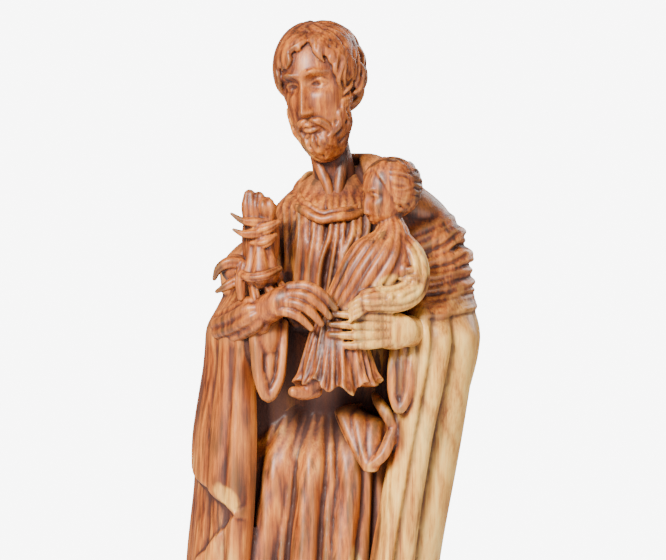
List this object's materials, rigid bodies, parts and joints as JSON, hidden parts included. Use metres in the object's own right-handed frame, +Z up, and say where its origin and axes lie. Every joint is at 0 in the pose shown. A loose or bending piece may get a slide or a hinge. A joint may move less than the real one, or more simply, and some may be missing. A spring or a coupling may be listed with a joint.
{
  "type": "olive wood saint joseph with child statue",
  "caption": "Standing bearded saint in pleated tunic and long open mantle, holding a small child and lilies, carved in one with its low oval base; stands by its own weight.",
  "frame": {"origin": "middle of the flat underside of the base", "axes": "+Z up, -Y the way the saint faces, +X the saint's left side, where the child sits"},
  "size_m": [0.1471, 0.1127, 0.3998],
  "materials": {
    "olive_wood": "hand-carved, sanded and waxed to a satin sheen, reddish brown heartwood running to cream sapwood"
  },
  "bodies": {
    "root": {"statue": "olive_wood"}
  },
  "joints": []
}
